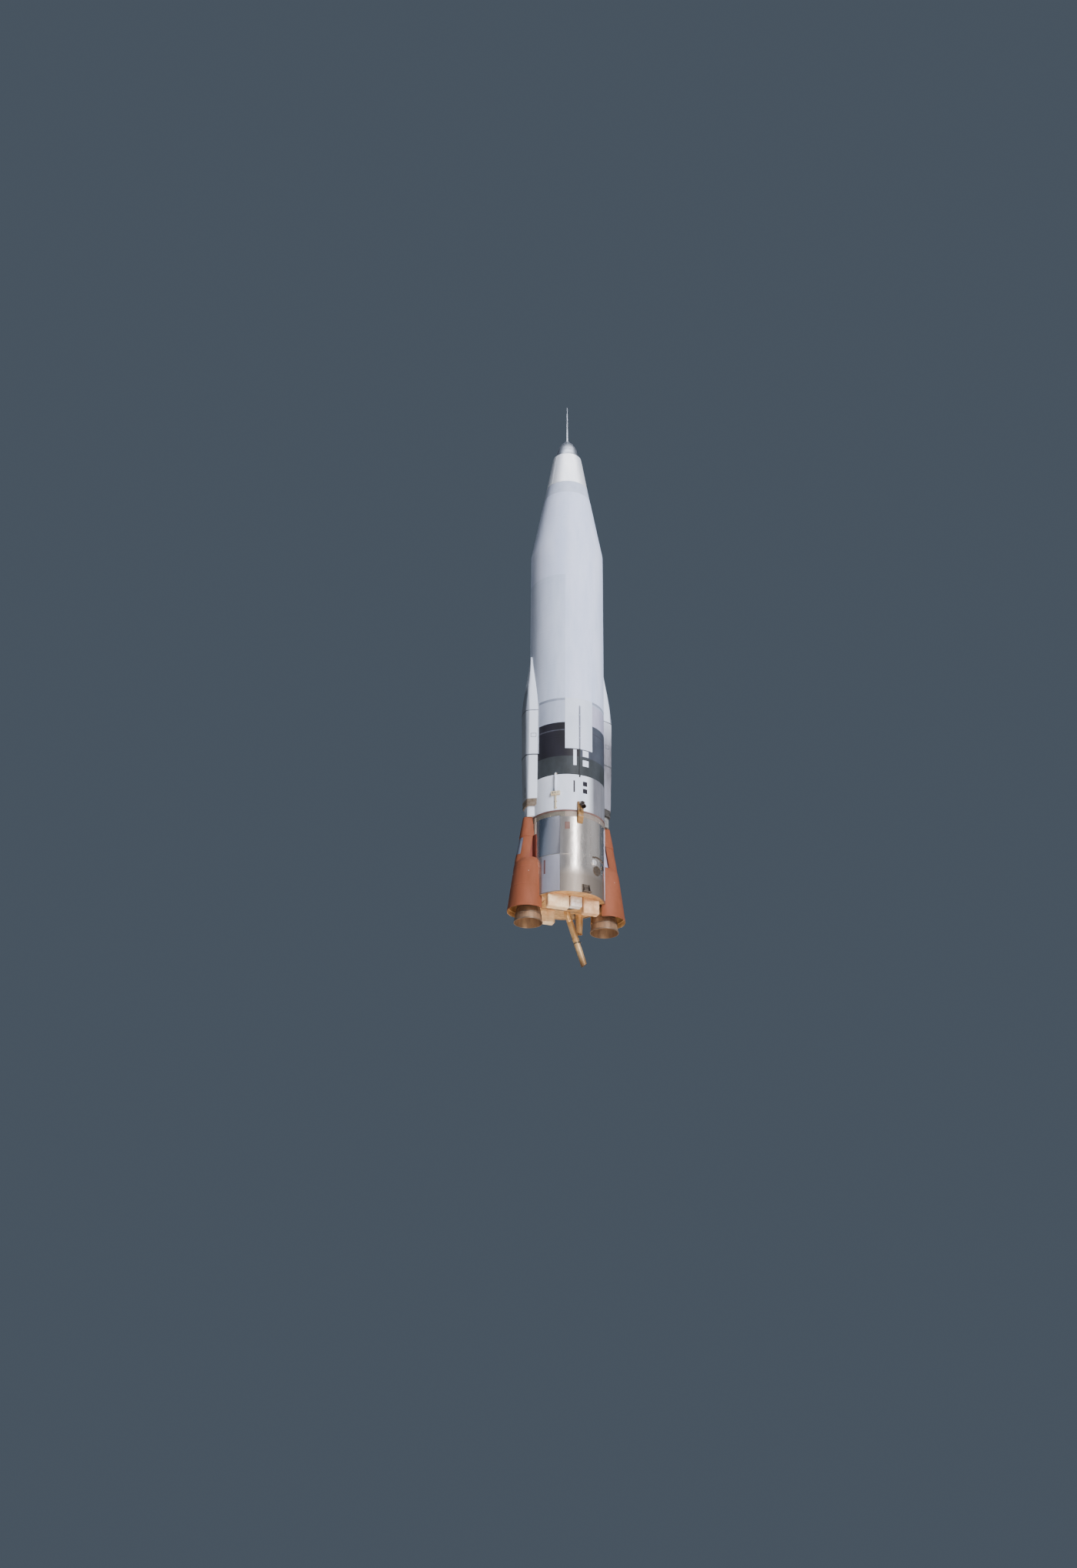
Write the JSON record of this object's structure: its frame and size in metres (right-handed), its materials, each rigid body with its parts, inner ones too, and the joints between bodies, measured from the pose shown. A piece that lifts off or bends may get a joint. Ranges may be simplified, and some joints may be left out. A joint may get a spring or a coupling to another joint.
{
  "type": "space rocket",
  "caption": "Liquid-fuel space rocket with a cylindrical tank, slim side pods, red engine nacelles, swivelling booster engines and a needle-tipped nose.",
  "frame": {"origin": "on the rocket's axis, at the middle of the underside of the plate that closes the centre of its tail", "axes": "+Z along the rocket towards its nose, X through both booster engines, -Y towards the face with the front steering engine"},
  "size_m": [4.863, 4.1032, 26.2869],
  "materials": {
    "white_paint": "satin white paint",
    "frosted_steel": "thin steel sheet under a skin of frost",
    "bright_steel": "polished sheet",
    "aluminium": "bright sheet",
    "red_paint": "matt brick red paint",
    "dark_paint": "dark grey paint",
    "ring_paint": "dark olive paint",
    "heat_paint": "buff heat-resistant coating",
    "dark_steel": "heat-stained steel"
  },
  "bodies": {
    "airframe": {"fuel_tank": "white_paint", "oxidiser_tank": "frosted_steel", "tank_cone": "frosted_steel", "nose_cone": "aluminium", "nose_cap": "aluminium", "nose_probe": "aluminium", "tank_ring": "ring_paint", "thrust_barrel": "bright_steel", "base_shield": "heat_paint", "centre_closure_plate": "dark_steel", "shield_box_front_left": "heat_paint", "shield_box_front_middle": "heat_paint", "shield_box_front_right": "heat_paint", "shield_box_rear_left": "heat_paint", "exhaust_duct": "dark_steel", "exhaust_stub": "dark_steel", "thrust_beam": "dark_steel", "nacelle_flare_right": "red_paint", "nacelle_flare_left": "red_paint", "nacelle_spine_right": "red_paint", "nacelle_spine_left": "red_paint", "pod_base_right": "white_paint", "pod_base_left": "white_paint", "pod_body_right": "white_paint", "pod_body_left": "white_paint", "pod_nose_right": "white_paint", "pod_nose_left": "white_paint", "conduit_front": "dark_paint", "conduit_rear": "dark_paint", "service_fitting": "white_paint", "access_panel_front_upper": "bright_steel", "access_panel_front_lower": "bright_steel", "access_panel_rear_upper": "bright_steel", "access_panel_rear_lower": "bright_steel", "service_disc": "aluminium", "service_port": "dark_steel", "launch_fitting_front": "dark_steel", "launch_fitting_rear": "dark_steel", "vernier_housing_front": "heat_paint", "vernier_housing_rear": "heat_paint"},
    "gimbal_right": {"gimbal_cross_right": "dark_steel"},
    "engine_right": {"injector_dome_right": "dark_steel", "thrust_chamber_right": "dark_steel"},
    "gimbal_left": {"gimbal_cross_left": "dark_steel"},
    "engine_left": {"injector_dome_left": "dark_steel", "thrust_chamber_left": "dark_steel"},
    "yoke_front": {"vernier_yoke_front": "dark_steel"},
    "steering_engine_front": {"vernier_chamber_front": "dark_steel"},
    "yoke_rear": {"vernier_yoke_rear": "dark_steel"},
    "steering_engine_rear": {"vernier_chamber_rear": "dark_steel"}
  },
  "joints": [
    {"name": "engine_right_yaw", "type": "hinge", "parent": "airframe", "child": "gimbal_right", "pos_m": [1.59, 0, 1.1], "axis": [0, 1, 0], "range_deg": [-5, 5]},
    {"name": "engine_right_pitch", "type": "hinge", "parent": "gimbal_right", "child": "engine_right", "pos_m": [1.59, 0, 1.1], "axis": [1, 0, 0], "range_deg": [-5, 5]},
    {"name": "engine_left_yaw", "type": "hinge", "parent": "airframe", "child": "gimbal_left", "pos_m": [-1.59, 0, 1.1], "axis": [0, 1, 0], "range_deg": [-5, 5]},
    {"name": "engine_left_pitch", "type": "hinge", "parent": "gimbal_left", "child": "engine_left", "pos_m": [-1.59, 0, 1.1], "axis": [1, 0, 0], "range_deg": [-5, 5]},
    {"name": "steering_front_turn", "type": "hinge", "parent": "airframe", "child": "yoke_front", "pos_m": [0, -1.7, 3.7], "axis": [0, -1, 0], "range_deg": [-30, 30]},
    {"name": "steering_front_swing", "type": "hinge", "parent": "yoke_front", "child": "steering_engine_front", "pos_m": [0, -1.82, 3.7], "axis": [-1, 0, 0], "range_deg": [-25, 35]},
    {"name": "steering_rear_turn", "type": "hinge", "parent": "airframe", "child": "yoke_rear", "pos_m": [0, 1.7, 3.7], "axis": [0, 1, 0], "range_deg": [-30, 30]},
    {"name": "steering_rear_swing", "type": "hinge", "parent": "yoke_rear", "child": "steering_engine_rear", "pos_m": [0, 1.82, 3.7], "axis": [1, 0, 0], "range_deg": [-25, 35]}
  ]
}
